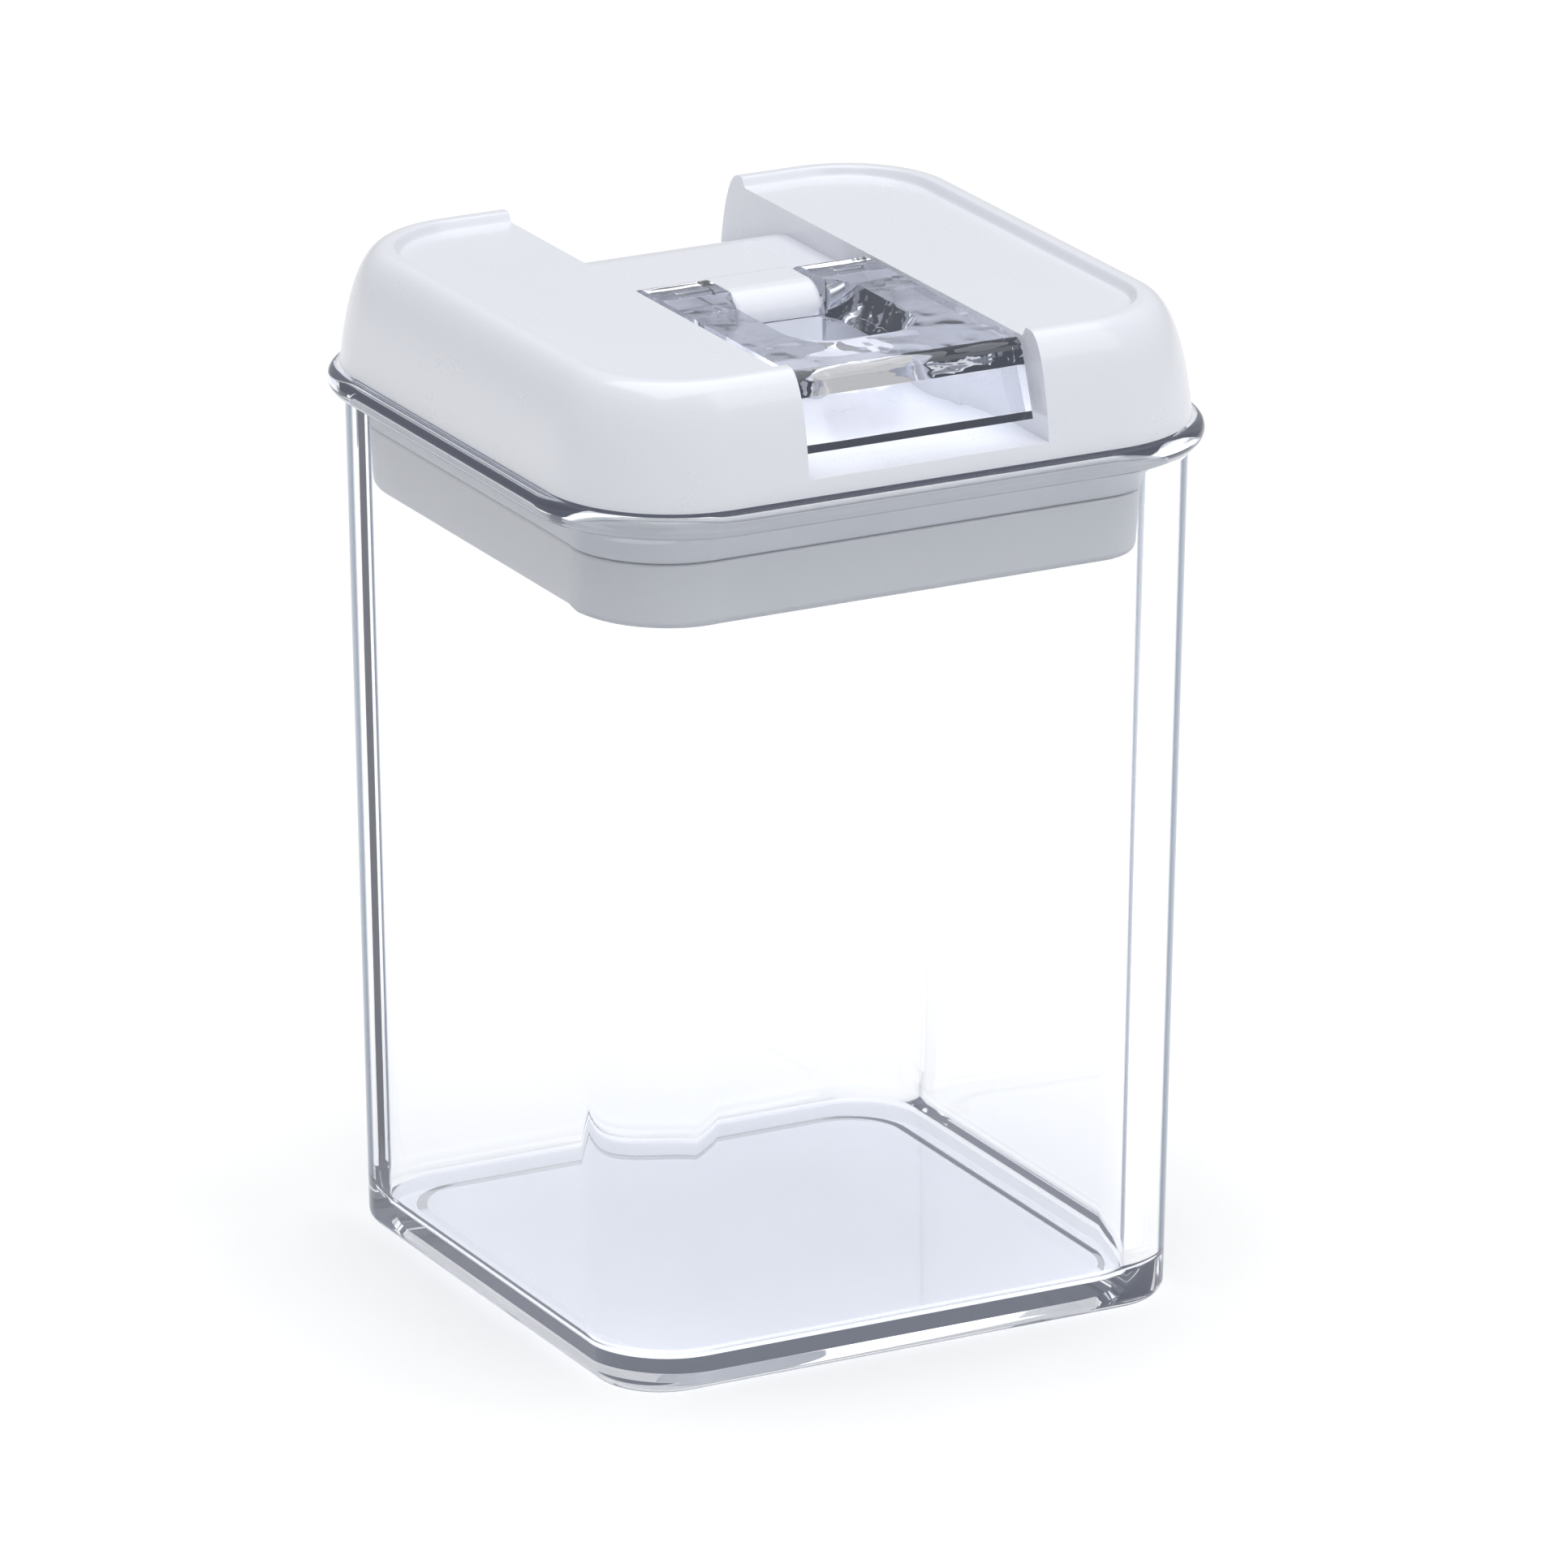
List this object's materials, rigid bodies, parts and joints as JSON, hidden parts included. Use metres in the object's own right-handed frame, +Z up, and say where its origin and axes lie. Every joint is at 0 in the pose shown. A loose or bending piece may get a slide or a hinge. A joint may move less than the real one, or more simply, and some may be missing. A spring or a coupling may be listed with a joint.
{
  "type": "flip-lock storage canister",
  "caption": "Square clear storage canister with a white stacking lid, whose clear flip lever lifts a plate in the mouth and squeezes a seal against the jar.",
  "frame": {"origin": "centre of the jar's foot, on the surface it stands on", "axes": "+Z up out of the mouth, -Y towards the front, where the lever's lip is, +X to the right seen from the front"},
  "size_m": [0.1044, 0.1044, 0.1494],
  "materials": {
    "jar_glass": "clear, smooth",
    "cover_white": "moulded white, satin",
    "inner_white": "moulded white, satin",
    "seal_silicone": "soft milky silicone",
    "lever_clear": "clear, polished",
    "pin_steel": "drawn steel pin"
  },
  "bodies": {
    "jar": {"glass_jar": "jar_glass"},
    "lid": {"lid_cover": "cover_white", "lid_underframe": "inner_white", "seal_gasket": "seal_silicone"},
    "lift": {"pressure_plate": "inner_white", "lift_post": "cover_white"},
    "lever": {"flip_lever": "lever_clear", "pivot_pin": "pin_steel"}
  },
  "joints": [
    {"name": "lid_lift", "type": "slide", "parent": "jar", "child": "lid", "axis": [0, 0, 1], "range_m": [0, 0.06]},
    {"name": "plate_drop", "type": "slide", "parent": "lid", "child": "lift", "axis": [0, 0, -1], "range_m": [0, 0.00245]},
    {"name": "lever_flip", "type": "hinge", "parent": "lift", "child": "lever", "pos_m": [0, 0.003, 0.1414], "axis": [-1, 0, 0], "range_deg": [0, 90]}
  ],
  "couplings": [
    {"joint": "plate_drop", "follows": "lever_flip", "m_per_rad": 0.0015279}
  ]
}
